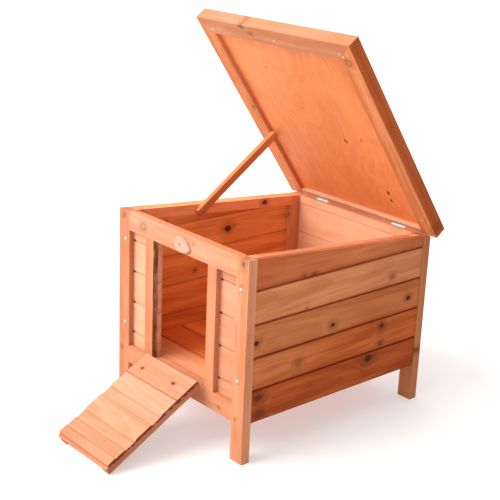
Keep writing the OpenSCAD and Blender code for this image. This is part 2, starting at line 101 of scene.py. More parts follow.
# ------------------------------------------------------------------ small node language
class Num:
    """A number socket in a shader tree, with arithmetic."""

    def __init__(self, tree, socket):
        self.tree = tree
        self.socket = socket

    def op(self, name, other=0.0, flip=False):
        first, second = (other, self) if flip else (self, other)
        node = self.tree.node("Math", operation=name)
        self.tree.put(node.inputs[0], first)
        self.tree.put(node.inputs[1], second)
        return Num(self.tree, node.outputs[0])

    def __add__(self, other):
        return self.op("ADD", other)

    def __sub__(self, other):
        return self.op("SUBTRACT", other)

    def __rsub__(self, other):
        return self.op("SUBTRACT", other, flip=True)

    def __mul__(self, other):
        return self.op("MULTIPLY", other)

    def __truediv__(self, other):
        return self.op("DIVIDE", other)

    def fract(self):
        return self.op("FRACT")

    def floor(self):
        return self.op("FLOOR")

    def abs(self):
        return self.op("ABSOLUTE")

    def sqrt(self):
        return self.op("SQRT")

    def exp(self):
        return self.op("EXPONENT")

    def least(self, other):
        return self.op("MINIMUM", other)

    def most(self, other):
        return self.op("MAXIMUM", other)

    def ramp(self, start, end, low=0.0, high=1.0):
        """Smooth step from low at start to high at end."""
        node = self.tree.node("MapRange", interpolation_type="SMOOTHSTEP")
        for k, value in enumerate((self, start, end, low, high)):
            self.tree.put(node.inputs[k], value)
        return Num(self.tree, node.outputs[0])


class Tree:
    """A shader tree whose nodes are made by short calls."""

    def __init__(self, node_tree):
        self.nodes = node_tree.nodes
        self.links = node_tree.links
        self.nodes.clear()

    def node(self, kind, **properties):
        made = self.nodes.new("ShaderNode" + kind)
        for key, value in properties.items():
            setattr(made, key, value)
        return made

    def put(self, socket, value):
        """Link a socket, or set its own value. A colour is given without its alpha."""
        if isinstance(value, Num):
            self.links.new(value.socket, socket)
        elif isinstance(value, bpy.types.NodeSocket):
            self.links.new(value, socket)
        elif isinstance(value, tuple) and len(value) == 3 and len(socket.default_value) == 4:
            socket.default_value = (*value, 1.0)
        else:
            socket.default_value = value

    def split(self, vector):
        parts = self.node("SeparateXYZ")
        self.put(parts.inputs[0], vector)
        return [Num(self, parts.outputs[k]) for k in range(3)]

    def vec(self, x, y, z):
        made = self.node("CombineXYZ")
        for k, value in enumerate((x, y, z)):
            self.put(made.inputs[k], value)
        return made.outputs[0]

    def noise(self, x, y, z, detail=2.0, rough=0.5, distort=0.0):
        made = self.node("TexNoise")
        self.put(made.inputs["Vector"], self.vec(x, y, z))
        self.put(made.inputs["Scale"], 1.0)
        self.put(made.inputs["Detail"], detail)
        self.put(made.inputs["Roughness"], rough)
        self.put(made.inputs["Distortion"], distort)
        return Num(self, made.outputs["Fac"])

    def hash(self, value):
        """Random number from 0 to 1 for each whole value."""
        made = self.node("TexWhiteNoise", noise_dimensions="1D")
        self.put(made.inputs["W"], value)
        return Num(self, made.outputs["Value"])

    def mix(self, factor, first, second, blend="MIX"):
        made = self.node("Mix", data_type="RGBA", blend_type=blend, clamp_factor=True)
        self.put(made.inputs[0], factor)
        self.put(made.inputs[6], first)
        self.put(made.inputs[7], second)
        return made.outputs[2]


class Finish(Tree):
    """A material with a Principled shader."""

    def __init__(self, name):
        self.material = bpy.data.materials.new(name)
        self.material.use_nodes = True
        super().__init__(self.material.node_tree)
        self.shader = self.node("BsdfPrincipled")
        output = self.node("OutputMaterial")
        self.put(output.inputs[0], self.shader.outputs[0])

    def place(self, matrix):
        """The three coordinates in the frame that the matrix stands for."""
        mapping = self.node("Mapping", vector_type="TEXTURE")
        self.put(mapping.inputs["Location"], tuple(matrix.to_translation()))
        self.put(mapping.inputs["Rotation"], tuple(matrix.to_euler()))
        self.put(mapping.inputs[0], self.node("TexCoord").outputs["Object"])
        return self.split(mapping.outputs[0])

    def bump(self, height, strength, distance):
        made = self.node("Bump")
        self.put(made.inputs["Strength"], strength)
        self.put(made.inputs["Distance"], distance)
        self.put(made.inputs["Height"], height)
        self.put(self.shader.inputs["Normal"], made.outputs[0])

    def set(self, **values):
        """Set the shader's inputs, each named with _ for a space."""
        for key, value in values.items():
            self.put(self.shader.inputs[key.replace("_", " ")], value)


def times(colour, tint):
    """Colour times tint, kept below a white that no wood has."""
    return tuple(min(0.95, c * k) for c, k in zip(colour, tint))


# ------------------------------------------------------------------ timber
# pale, deep and knot colours of each kind of timber (linear)
PALETTES = {
    "light": ((0.608, 0.269, 0.152), (0.49, 0.183, 0.0842), (0.163, 0.0425, 0.0159)),
    "pale": ((0.623, 0.301, 0.188), (0.519, 0.218, 0.113), (0.163, 0.0475, 0.0209)),
    "warm": ((0.69, 0.258, 0.111), (0.513, 0.156, 0.0561), (0.124, 0.0288, 0.011)),
    "tan": ((0.513, 0.188, 0.0763), (0.388, 0.116, 0.0382), (0.0693, 0.0154, 0.0053)),
    "red": ((0.43, 0.0983, 0.0209), (0.292, 0.0508, 0.00855), (0.0594, 0.00972, 0.00285)),
    # inner is painted light: a colour lifted to stand in for light on the left wall's dim inside faces
    "inner": ((0.907, 0.382, 0.125), (0.67, 0.217, 0.0594), (0.0918, 0.0184, 0.0066)),
    "brown": ((0.473, 0.141, 0.0609), (0.304, 0.0783, 0.0305), (0.09, 0.0203, 0.0101)),
    "ply": ((0.876, 0.315, 0.118), (0.700, 0.204, 0.066), (0.136, 0.033, 0.0128)),
    "back": ((0.8, 0.433, 0.276), (0.68, 0.319, 0.175), (0.2, 0.0618, 0.0318)),
}
# tints of the deep colour
STAINED = (0.82, 0.66, 0.55)
SPECKLED = (0.6, 0.5, 0.45)
# the next tint colours the soft painted shadow that each seam's groove casts on the board above it
SEAM_GROOVE_SHADOW = (0.66, 0.44, 0.36)
SEAM_DARK = (0.46, 0.27, 0.20)
LINE_DARK = (0.5, 0.36, 0.3)
SAWN_INNER = (0.78, 0.68, 0.66)
TORN_MIDDLE = (0.6, 0.75, 0.85)
# tints of the knot colour, and the colour of bare splinters
# the next tint darkens the upper part of cut ends: partly darker end grain, partly a painted shadow line
SAWN_AND_SHADOWED_OUTER = (0.6, 0.5, 0.45)
TORN_DARK = (1.2, 1.5, 1.6)
SPLINTER = (0.60, 0.36, 0.25)

# noise drawn out along the fibres: cells per metre on each axis, detail, roughness, how much it counts for,
# and how much of the board's own shift is added along the fibres (slide) and through the board (sink)
Figure = namedtuple("Figure", "along across through detail rough weight slide sink", defaults=(1.0, 0.0))
FIBRE = Figure(8.0, 480.0, 480.0, 4.0, 0.65, 0.85)
STREAK = Figure(1.6, 60.0, 60.0, 4.0, 0.65, 2.0, sink=1.0)
CLOUD = Figure(5.0, 16.0, 9.0, 3.0, 0.55, 1.3)
BROAD = Figure(3.0, 7.0, 4.0, 2.0, 0.5, 0.9, slide=1.3)
STAIN = Figure(9.0, 24.0, 24.0, 3.0, 0.5, 0.35, slide=1.7)
SPECKS = Figure(40.0, 300.0, 300.0, 1.0, 0.5, 0.4)
WARP = Figure(4.0, 20.0, 20.0, 3.0, 0.55, 0.005, sink=1.0)
CHIPS = Figure(26.0, 260.0, 190.0, 4.0, 0.7, 0.85, slide=0.0)

# growth rings: their pith line's wander and lean, and how far late wood deepens the colour
RINGS_PER_METRE = 170.0
WANDERS_PER_METRE = 1.5
WANDER_ACROSS = 0.035
WANDER_THROUGH = 0.02
PITH_LEAN = 0.03
LATE_DEPTH = 0.22
LATE_RISE = (0.2, 0.88)
MIDDLE_DEPTH = 0.38

# how boards differ: shift of the figure for each seed and board, slip of the pith, spread of the tone
SEED_SHIFT = 7.31
BOARD_SHIFT = 40.0
BOARD_SLIP = 0.03
BOARD_SPREAD = 0.4
BOARD_TONE_STEP = 3.7
BOARD_TONE_SEED = 5.0

# knots, in shares of their radius: stretch along the fibres, lift and fall of the rings, core, rim and halo
KNOT_STRETCH = 1.3
KNOT_LIFT = 0.9
KNOT_FALL = -0.22
KNOT_ROUGHNESS = 0.9
KNOT_CORE = (0.6, 0.88)
KNOT_RIM = 0.92
RIM_SHARPNESS = 4.2
KNOT_HALO = (1.0, 2.6)

# seams: the painted groove shadow's rise below each line and its fade above it; cut ends: where they begin
GROOVE_SHADOW_RISE = (-0.006, -0.001)
GROOVE_SHADOW_FADE = (-0.004, 0.013)
END_CUT = (-0.0013, -0.0006)
END_COVER = 0.92
SPLIT_EDGE = 0.0008

PLANED_ROUGHNESS = 0.55
PLANED_SHINE = 0.07
GRAIN_BUMP = 0.35
GRAIN_HEIGHT = 0.0006

# dark seams across the grain; on the face that Side names they start at face_start
Seams = namedtuple("Seams", "start step half strength face_start", defaults=(None,))
# a face, or one end of a board, that changes tint from start to end along a body's axis
Side = namedtuple("Side", "axis start end tint")
# the two cut ends of a board centred on its body: half its length, and where through it they darken
Ends = namedtuple("Ends", "half split")


def late_wood(rings, rise):
    """Dark part of each growth ring: a slow rise and a quick fall."""
    saw = rings.fract()
    return saw.ramp(*rise) * saw.ramp(0.9, 1.0, 1.0, 0.0)


class Grain:
    """A board's own coordinates: along the fibres, across them and through the board."""

    def __init__(self, tree, along, across, through, shift):
        self.tree = tree
        self.along = along
        self.across = across
        self.through = through
        self.shift = shift

    def noise(self, figure):
        return self.tree.noise(
            self.along * figure.along + self.shift * figure.slide,
            self.across * figure.across,
            self.through * figure.through + self.shift * figure.sink,
            figure.detail,
            figure.rough,
        )

    def rings(self, pith):
        """Distance from a pith line that wanders along the board, and the warp that roughens it."""
        place = self.along * WANDERS_PER_METRE + self.shift
        wander = self.tree.noise(place, self.shift, 0.0, detail=1.0) - 0.5
        side = self.across - pith[0] + wander * WANDER_ACROSS
        depth = self.through - pith[1] + self.along * PITH_LEAN + wander * WANDER_THROUGH
        warp = self.noise(WARP) - 0.5
        return (side * side + depth * depth).sqrt() + warp * WARP.weight, warp


def with_knots(knots, u, v, rings, warp):
    """Bend the rings round the knots. Gives the rings, and the marks of cores, rims and halos, if any."""
    marks = None
    for along, across, radius, darkness in knots:
        eu = (u - along) / (radius * KNOT_STRETCH)
        ev = (v - across) / radius
        reach = eu * eu + ev * ev
        rings = rings + (reach * KNOT_FALL).exp() * (radius * KNOT_LIFT)
        edge = reach.sqrt() + warp * KNOT_ROUGHNESS
        core = edge.ramp(*KNOT_CORE, 1.0, 0.0) * darkness
        off_rim = ((edge - KNOT_RIM) * RIM_SHARPNESS).abs().least(1.0)
        rim = (1.0 - off_rim) * (0.85 - darkness * 0.35)
        halo = edge.ramp(*KNOT_HALO, 0.2 + darkness * 0.12, 0.0)
        mark = core.most(rim).most(halo)
        marks = mark if marks is None else marks.most(mark)
    return rings, marks


def with_torn_edge(t, colour, grain, torn, deep, dark):
    """Rough sawn edge, from dark through brown to bare splinters."""
    chips = grain.noise(CHIPS)
    splinters = t.mix(chips.ramp(0.52, 0.66), times(deep, TORN_MIDDLE), SPLINTER)
    sawn = t.mix(chips.ramp(0.38, 0.52), times(dark, TORN_DARK), splinters)
    return t.mix(grain.across.ramp(*torn) * CHIPS.weight, colour, sawn)


def with_seams(t, colour, v, seams, face, cloud, deep):
    """Dark line at each lap of the boards, with a soft painted shadow of the groove above it."""
    start = seams.start
    if seams.face_start is not None:
        start = face * (seams.face_start - seams.start) + seams.start
    step = seams.step
    near = ((v - start) / step + 0.5).fract() - 0.5
    line = (near.abs() * step).ramp(seams.half * 0.3, seams.half, seams.strength, 0.0) * (cloud * 0.7 + 0.65)
    # painted groove shadow: it rises just below each seam line and fades up the board above it
    fade = near.ramp(GROOVE_SHADOW_FADE[0] / step, GROOVE_SHADOW_FADE[1] / step, seams.strength * 0.6, 0.0)
    shade = fade * near.ramp(GROOVE_SHADOW_RISE[0] / step, GROOVE_SHADOW_RISE[1] / step)
    colour = t.mix(shade * cloud * 2.0, colour, times(deep, SEAM_GROOVE_SHADOW))
    return t.mix(line, colour, times(deep, SEAM_DARK))


def with_cut_ends(t, colour, grain, ends, deep, dark):
    """Ragged sawn ends, darkest outside the split: darker end grain, with a painted shadow line there just
    under the board's top edge.
    """
    ragged = t.noise(grain.across * 160.0, grain.through * 90.0, grain.shift, detail=3.0, rough=0.6) - 0.5
    cut = (grain.along.abs() - ends.half + ragged * 0.004).ramp(*END_CUT)
    outer = (grain.through + ragged * 0.018).ramp(ends.split - SPLIT_EDGE, ends.split + SPLIT_EDGE)
    sawn = t.mix(outer, times(deep, SAWN_INNER), times(dark, SAWN_AND_SHADOWED_OUTER))
    return t.mix(cut * END_COVER, colour, sawn)


def timber(name, body, axes, palette, seed, knots=(), boards=None, tone=0.0, pith=(0.0, -0.045),
           contrast=1.0, tint=(1.0, 1.0, 1.0), side=None, torn=None, seams=None, lines=(), ends=None):
    """Planed, stained fir. axes names the body's axes along, across and through the board.

    knots are (along, across, radius, darkness). boards is (start, step), across the grain, of boards that
    share a node. tone shifts the colour from pale towards deep. pith is the middle of the growth rings,
    (across, through). torn is a rough edge, (from, to) across the grain. lines are single dark lines, (place
    across the grain, half width, strength). side, seams and ends are a Side, a Seams and an Ends.
    """
    t = Finish(name)
    place = dict(zip("xyz", t.place(FRAMES[body])))
    u, v, w = (place[axis] for axis in axes)
    pale, deep, dark = (times(colour, tint) for colour in PALETTES[palette])
    across = v
    shift = seed * SEED_SHIFT
    if boards:
        start, step = boards
        board = ((v - start) / step).floor()
        chance = t.hash(board + seed)
        across = v - board * step - start - step / 2 + (chance - 0.5) * BOARD_SLIP
        shift = chance * BOARD_SHIFT + shift
    grain = Grain(t, u, across, w, shift)
    rings, warp = grain.rings(pith)
    rings, knot_marks = with_knots(knots, u, v, rings, warp)
    late = late_wood(rings * RINGS_PER_METRE, LATE_RISE)
    fibre = grain.noise(FIBRE)
    streak = grain.noise(STREAK)
    cloud = grain.noise(CLOUD)
    broad = grain.noise(BROAD) - 0.5

    depth = late * LATE_DEPTH * contrast + (streak - 0.5) * STREAK.weight * contrast
    depth = depth + (fibre - 0.5) * FIBRE.weight + (cloud - 0.5) * CLOUD.weight * contrast
    depth = depth + MIDDLE_DEPTH + tone + broad * BROAD.weight * contrast
    if boards:
        tone_chance = t.hash(board * BOARD_TONE_STEP + seed + BOARD_TONE_SEED)
        depth = depth + (tone_chance - 0.5) * BOARD_SPREAD
    colour = t.mix(depth, pale, deep)
    stain = grain.noise(STAIN).ramp(0.60, 0.78)
    colour = t.mix(stain * STAIN.weight * contrast, colour, times(deep, STAINED))
    specks = grain.noise(SPECKS).ramp(0.70, 0.80)
    colour = t.mix(specks * SPECKS.weight, colour, times(deep, SPECKLED))

    face = None
    if knot_marks is not None:
        colour = t.mix(knot_marks, colour, dark)
    if side is not None:
        face = place[side.axis].ramp(side.start, side.end)
        colour = t.mix(face, colour, t.mix(1.0, colour, side.tint, "MULTIPLY"))
    if torn is not None:
        colour = with_torn_edge(t, colour, grain, torn, deep, dark)
    if seams is not None:
        colour = with_seams(t, colour, v, seams, face, cloud, deep)
    for middle, half, strength in lines:
        line = (v - middle).abs().ramp(half * 0.25, half, strength, 0.0) * (cloud * 0.8 + 0.6)
        colour = t.mix(line, colour, times(deep, LINE_DARK))
    if ends is not None:
        colour = with_cut_ends(t, colour, grain, ends, deep, dark)
    t.set(Base_Color=colour, Roughness=fibre * 0.2 + PLANED_ROUGHNESS, Specular_IOR_Level=PLANED_SHINE)
    t.bump(fibre * 0.5 + late * 0.5 * contrast + streak * 0.5, GRAIN_BUMP, GRAIN_HEIGHT)
    return t.material


# ------------------------------------------------------------------ plywood
PLY_RISE = (0.1, 0.85)
PLY_GREY = (0.42, 0.16, 0.08)
PLY_KNOT = (0.10, 0.022, 0.008)
PLY_KNOT_STRETCH = 1.4
# (x, y, radius, darkness)
PLY_KNOTS = (
    (0.069, -0.252, 0.005, 0.6),
    (0.132, -0.103, 0.004, 1.0),
    (0.130, -0.077, 0.0035, 0.9),
    (-0.09, -0.44, 0.0025, 0.5),
    (0.125, -0.27, 0.0025, 0.7),
    (-0.03, -0.33, 0.003, 0.35),
)


def plywood(name, body):
    """Rotary-cut ply: broad, wavy figure with soft dark clouds and a few small knots."""
    t = Finish(name)
    x, y, z = t.place(FRAMES[body])
    pale, deep, _ = PALETTES["ply"]
    bend = t.noise(x * 5.0 + 3.0, y * 2.2, 0.0)
    swirl = t.noise(x * 9.0 + bend * 1.6, y * 3.0, z, detail=3.0, distort=0.8)
    figure = late_wood(swirl * 11.0 + x * 12.0, PLY_RISE)
    cloud = t.noise(x * 6.0, y * 5.0, 1.7, detail=4.0, rough=0.6)
    fibre = t.noise(x * 380.0, y * 14.0, 0.0, detail=3.0, rough=0.6)
    depth = figure * 0.28 + (cloud - 0.5) * 1.5 + (fibre - 0.5) * 0.5 + x * 0.7 + 0.37
    colour = t.mix(depth, pale, deep)
    grey = t.noise(x * 7.0 + 8.0, y * 6.0, 3.3, detail=3.0).ramp(0.58, 0.75)
    colour = t.mix(grey * 0.3, colour, PLY_GREY)
    for kx, ky, radius, darkness in PLY_KNOTS:
        ex = (x - kx) / radius
        ey = (y - ky) / (radius * PLY_KNOT_STRETCH)
        edge = (ex * ex + ey * ey).sqrt() + (fibre - 0.5) * 0.5
        colour = t.mix(edge.ramp(0.6, 1.5, darkness, 0.0), colour, PLY_KNOT)
    t.set(Base_Color=colour, Roughness=fibre * 0.2 + 0.42, Specular_IOR_Level=0.16)
    t.bump(fibre + figure * 0.4, 0.25, 0.0005)
    return t.material


# ------------------------------------------------------------------ steel and felt
SPANGLE_TINT = (0.78, 0.78, 0.78)
SCRATCH_TINT = (0.5, 0.5, 0.5)
GRANULE_DARK = (0.030, 0.042, 0.036)
GRANULE_PALE = (0.12, 0.15, 0.13)
FELT_WORN = (0.05, 0.055, 0.05)


def steel(name, body, colour, rough):
    """Zinc-plated or stained steel: mottled spangle, fine scratches and a slightly uneven face."""
    t = Finish(name)
    x, y, z = t.place(FRAMES[body])
    spangle = t.noise(x * 260.0, y * 260.0, z * 260.0, detail=3.0, rough=0.6)
    scratch = t.noise(x * 2200.0, y * 160.0, z * 900.0, rough=0.6)
    base = t.mix(spangle.ramp(0.3, 0.75), colour, times(colour, SPANGLE_TINT))
    base = t.mix(scratch.ramp(0.62, 0.8) * 0.35, base, times(colour, SCRATCH_TINT))
    t.set(Base_Color=base, Roughness=spangle * 0.16 + rough, Metallic=0.85)
    t.bump(spangle + scratch * 0.5, 0.12, 0.0003)
    return t.material


def felt(name):
    """Mineral-faced roofing felt: dark green-grey granules."""
    t = Finish(name)
    x, y, z = t.place(LID)
    grit = t.noise(x * 900.0, y * 900.0, z * 900.0, rough=0.7)
    patch = t.noise(x * 14.0, y * 14.0, z * 14.0, detail=4.0, rough=0.6)
    base = t.mix(grit.ramp(0.35, 0.7), GRANULE_DARK, GRANULE_PALE)
    base = t.mix(patch.ramp(0.35, 0.75) * 0.35, base, FELT_WORN)
    t.set(Base_Color=base, Roughness=grit * 0.12 + 0.82, Specular_IOR_Level=0.25)
    t.bump(grit + patch * 0.3, 0.8, 0.0009)
    return t.material


# ------------------------------------------------------------------ which finish each node has
looks = {}


def look(node, *args, **options):
    """Timber for one node, described as timber() takes it."""
    looks[node] = timber("timber_" + node, *args, **options)


# posts
POST_MIDDLE = 0.206
look("post_front_left", "cabin", "zxy", "light", 1, tint=(0.95, 0.88, 0.86), contrast=1.3,
     pith=(-POST_MIDDLE, 0.05), knots=((0.12, -0.213, 0.004, 0.3), (0.446, -0.207, 0.006, 0.55)))
look("post_front_right", "cabin", "zxy", "light", 2, tone=0.12, contrast=1.4, pith=(POST_MIDDLE, 0.055),
     knots=((0.446, 0.207, 0.007, 0.75), (0.398, 0.203, 0.003, 0.3), (0.098, 0.199, 0.003, 0.6)))
look("post_back_left", "cabin", "zxy", "warm", 3, pith=(-0.2, 0.5), tint=(1.05, 1.25, 1.5))
look("post_back_right", "cabin", "zxy", "tan", 4, pith=(0.2, 0.5), tone=-0.15, tint=(0.85, 0.9, 0.92),
     knots=((0.128, 0.222, 0.006, 0.7),))

# the doorway's frame, with the left jamb's torn edge
DOOR_EDGE = (-0.0958, -0.0952)
look("header_rail", "cabin", "xzy", "pale", 5, pith=(0.435, 0.06), contrast=1.1,
     knots=((-0.134, 0.436, 0.0065, 0.1), (0.045, 0.444, 0.003, 0.3)))
look("sill_rail", "cabin", "xzy", "light", 6, pith=(0.11, 0.06), tone=0.1,
     knots=((0.145, 0.104, 0.003, 0.5),))
look("jamb_left", "cabin", "zxy", "light", 7, pith=(-0.11, 0.05), tint=(0.94, 0.82, 0.78),
     side=Side("x", *DOOR_EDGE, (0.55, 0.44, 0.42)), torn=DOOR_EDGE)
look("jamb_right", "cabin", "zxy", "light", 8, pith=(0.11, 0.05), tint=(0.96, 0.92, 0.9), contrast=0.8)
look("header_board", "cabin", "xzy", "warm", 9, pith=(0.43, 0.09))
look("threshold_board", "cabin", "xzy", "light", 10, pith=(0.11, 0.09))

# walls: the lowest board's lower edge, the height that each board covers, and where the seams start
WALL_FOOT = 0.09
LAP = 0.0745
OUTER_SEAM = 0.0895
INNER_SEAM = 0.0955
BACK_SEAM = 0.0957
FRONT_BOARDS = {
    "boards": (WALL_FOOT, LAP),
    "seams": Seams(OUTER_SEAM, LAP, 0.0026, 0.2),
}
# the left panel's tint is partly its own tone and partly painted light, lifting the shadow that the left
# post casts on it
look("front_boards_left", "cabin", "xzy", "pale", 11, tone=-0.05, contrast=0.8, tint=(1.15, 1.26, 1.25),
     **FRONT_BOARDS)
look("front_boards_right", "cabin", "xzy", "pale", 12, tone=0.05, contrast=0.9, **FRONT_BOARDS)

# the boards of each side wall, from the lowest up
WallBoard = namedtuple("WallBoard", "palette tone tint side knots")
RIGHT_WALL = (
    WallBoard(
        "red", 0.1, (1.0, 1.0, 1.05), Side("y", 0.25, 0.45, (0.96, 0.92, 0.84)),
        ((0.376, 0.149, 0.0115, 0.9), (0.042, 0.146, 0.0115, 0.75), (0.047, 0.104, 0.0105, 0.55)),
    ),
    WallBoard(
        "red", -0.05, (1.17, 1.3, 1.5), Side("y", 0.28, 0.12, (1.03, 1.3, 1.7)),
        ((0.413, 0.220, 0.0082, 0.95), (0.413, 0.178, 0.0072, 0.7), (0.153, 0.195, 0.0072, 0.45)),
    ),
    WallBoard(
        "tan", 0.1, (1.0, 0.96, 0.88), Side("y", 0.22, 0.48, (0.86, 0.76, 0.68)),
        ((0.498, 0.270, 0.0068, 1.0), (0.253, 0.261, 0.0072, 1.0), (0.030, 0.272, 0.0072, 1.0)),
    ),
    WallBoard(
        "tan", -0.1, (1.24, 1.36, 1.5), Side("y", 0.22, 0.48, (0.84, 0.78, 0.8)),
        ((0.437, 0.336, 0.0062, 0.4), (0.17, 0.318, 0.003, 0.6)),
    ),
    WallBoard(
        "warm", 0.25, (0.78, 0.65, 0.57), Side("y", 0.2, 0.5, (0.97, 1.05, 1.12)),
        ((0.186, 0.390, 0.0065, 1.0), (0.158, 0.392, 0.0035, 0.6), (0.330, 0.43, 0.002, 0.4)),
    ),
)
# painted shadow: LEFT_OUTSIDE darkens the left wall's strongly lit outer faces, against the inner palette's
# painted light on their inside faces
LEFT_OUTSIDE = Side("x", -0.2215, -0.2224, (0.42, 0.35, 0.45))
LEFT_WALL = (
    WallBoard("inner", 0.15, (0.9, 0.78, 0.6), LEFT_OUTSIDE, ((0.25, 0.12, 0.006, 0.5),)),
    WallBoard("inner", 0.1, (0.96, 0.86, 0.75), LEFT_OUTSIDE, ((0.41, 0.20, 0.004, 0.6),)),
    WallBoard("inner", 0.0, (1.0, 0.98, 0.95), LEFT_OUTSIDE, ((0.211, 0.268, 0.0045, 0.8),)),
    WallBoard("inner", -0.05, (1.1, 1.2, 1.3), LEFT_OUTSIDE, ((0.312, 0.356, 0.0105, 1.0),)),
    WallBoard("inner", 0.3, (1.06, 1.2, 1.4), LEFT_OUTSIDE, ((0.12, 0.405, 0.004, 0.4),)),
)
RIGHT_SEAMS = Seams(OUTER_SEAM, LAP, 0.0044, 0.7)
LEFT_SEAMS = Seams(INNER_SEAM, LAP, 0.0026, 0.3, OUTER_SEAM)


def side_wall(wall, boards, first_seed, pith_rise, pith_through, contrast, seams):
    """The five boards of a side wall. The rings' middle lies above and below the boards' in turn."""
    for number, board in enumerate(boards, start=1):
        middle = WALL_FOOT + (number - 0.5) * LAP
        look(f"{wall}_wall_board_{number}", "cabin", "yzx", board.palette, first_seed + number,
             knots=board.knots, pith=(middle + (-1) ** number * pith_rise, pith_through),
             tone=board.tone, contrast=contrast, tint=board.tint, seams=seams, side=board.side)


side_wall("right", RIGHT_WALL, 20, 0.012, 0.14, 1.35, RIGHT_SEAMS)
side_wall("left", LEFT_WALL, 30, -0.01, -0.26, 1.2, LEFT_SEAMS)
look("back_boards", "cabin", "xzy", "back", 40, boards=(0.096, LAP), tone=-0.1, tint=(1.0, 1.0, 0.93),
     knots=((0.1, 0.345, 0.003, 0.4),), seams=Seams(BACK_SEAM, LAP, 0.0016, 0.2))
look("back_top_rail", "cabin", "xzy", "warm", 41, pith=(0.39, 0.5))
look("back_bottom_rail", "cabin", "xzy", "warm", 42, pith=(0.11, 0.5))

# battens and floor
for seed, corner in enumerate(("front_left", "front_right", "back_left", "back_right"), start=43):
    look("batten_" + corner, "cabin", "zxy", "warm", seed, pith=(0.0, 0.2), tint=(1.15, 1.4, 1.7))
# the left top batten's tint and tone are painted light: its face is made lighter to stand in for the light
# it catches
look("top_batten_left", "cabin", "yzx", "warm", 47, pith=(0.40, -0.15), tone=-0.2, tint=(1.35, 1.5, 1.6),
     knots=((0.414, 0.412, 0.0075, 1.0),))
look("top_batten_right", "cabin", "yzx", "warm", 48, pith=(0.40, 0.15), tint=(0.9, 1.0, 1.15))
look("floor_bearer_left", "cabin", "yzx", "warm", 49)
look("floor_bearer_right", "cabin", "yzx", "warm", 50)
look("floor_boards", "cabin", "xyz", "warm", 51, boards=(0.025, LAP), pith=(0.0, 0.05), tone=0.1,
     tint=(1.3, 0.98, 0.6), seams=Seams(0.0248, LAP, 0.0026, 0.7),
     side=Side("y", 0.13, 0.05, (0.86, 1.4, 2.8)))

# lid
look("lid_rail_left", "lid", "yxz", "warm", 60, pith=(-0.22, 0.06),
     knots=((-0.301, -0.211, 0.004, 0.9), (-0.304, -0.187, 0.003, 0.8), (-0.237, -0.181, 0.003, 0.7)))
look("lid_rail_right", "lid", "yxz", "warm", 61, pith=(0.22, 0.06), tone=0.05, contrast=1.5,
     knots=((-0.521, 0.219, 0.008, 0.1), (-0.024, 0.243, 0.008, 0.4)),
     side=Side("x", 0.2429, 0.2435, (0.60, 0.37, 0.20)))
look("lid_rail_front", "lid", "xyz", "light", 62, pith=(-0.55, 0.06), tone=0.15, contrast=1.1,
     knots=((-0.090, -0.566, 0.005, 0.7), (-0.068, -0.549, 0.0045, 0.6)))
look("lid_rail_hinge", "lid", "xyz", "warm", 63, pith=(-0.02, 0.06), tint=(1.03, 1.5, 2.2))
look("roof_deck", "lid", "yxz", "warm", 64, boards=(-0.212, 0.0848))
looks["lid_ceiling"] = plywood("plywood_ceiling", "lid")
looks["roof_felt"] = felt("roofing_felt")

# prop stick and turn button
look("prop_stick", "prop", "yzx", "warm", 65, pith=(0.0, -0.22), tone=0.1)
look("turn_button", "button", "xzy", "pale", 66, pith=(0.43, 0.05), tone=-0.35, contrast=0.5,
     tint=(1.04, 1.1, 1.25))

# ramp: seams between its boards, and darker bands of painted shadow on the boards' coves just above the
# lower two
RAMP_TOP = 0.022
RAMP_ENDS = Ends(0.0935, 0.0165)
RAMP_SEAMS = (0.0625, 0.139, 0.2155)
RAMP_COVE_SHADOWS = [seam - 0.026 for seam in RAMP_SEAMS[1:]]
RAMP_LINES = [(seam, 0.0014, 0.7) for seam in RAMP_SEAMS] + [(cove_shadow, 0.0055, 0.3) for cove_shadow in RAMP_COVE_SHADOWS]
BOARD_SCREWS = ((-0.0628, 0.0371), (0.0449, 0.0327))
RAMP_BOARDS = (
    (0.05, (0.97, 0.92, 0.9), ((*BOARD_SCREWS[0], 0.0042, 0.7), (*BOARD_SCREWS[1], 0.0044, 0.8))),
    (-0.15, (1.0, 1.06, 1.12), ()),
    (-0.05, (0.98, 1.0, 1.0), ()),
    (0.1, (0.95, 0.84, 0.76), ()),
)
for number, (tone, tint, knots) in enumerate(RAMP_BOARDS, start=1):
    look(f"ramp_board_{number}", "ramp", "xzy", "pale", 70 + number, pith=(0.06 * number, -0.05), tone=tone,
         contrast=1.25, tint=tint, knots=knots, lines=RAMP_LINES, ends=RAMP_ENDS)
look("ramp_foot_strip", "ramp", "xzy", "pale", 75, pith=(0.25, -0.05), tone=0.1, tint=(0.95, 0.84, 0.78),
     lines=((0.2415, 0.002, 0.6), (0.2635, 0.0018, 0.5)), ends=RAMP_ENDS)
look("ramp_stringer_left", "ramp", "zxy", "brown", 76)
look("ramp_stringer_right", "ramp", "zxy", "brown", 77, tone=-0.2, tint=(1.2, 1.35, 1.6))
look("ramp_ledge", "ramp", "xzy", "brown", 78)

# steel nodes: body, colour, roughness
STEEL_NODES = {
    "cabin_screws": ("cabin", (0.52, 0.46, 0.37), 0.5),
    "cabin_hinge_leaves": ("cabin", (0.66, 0.62, 0.57), 0.42),
    "hinge_pins": ("cabin", (0.66, 0.62, 0.57), 0.42),
    "prop_screw": ("cabin", (0.50, 0.27, 0.16), 0.5),
    "button_screw": ("cabin", (0.50, 0.27, 0.16), 0.5),
    "lid_hinge_leaves": ("lid", (0.64, 0.60, 0.55), 0.42),
    "lid_hinge_screws": ("lid", (0.64, 0.60, 0.55), 0.42),
    "ramp_hinge_leaves": ("ramp", (0.66, 0.62, 0.57), 0.42),
    "ramp_hinge_screws": ("ramp", (0.66, 0.62, 0.57), 0.42),
}
for node, (body, colour, rough) in STEEL_NODES.items():
    looks[node] = steel("steel_" + node, body, colour, rough)

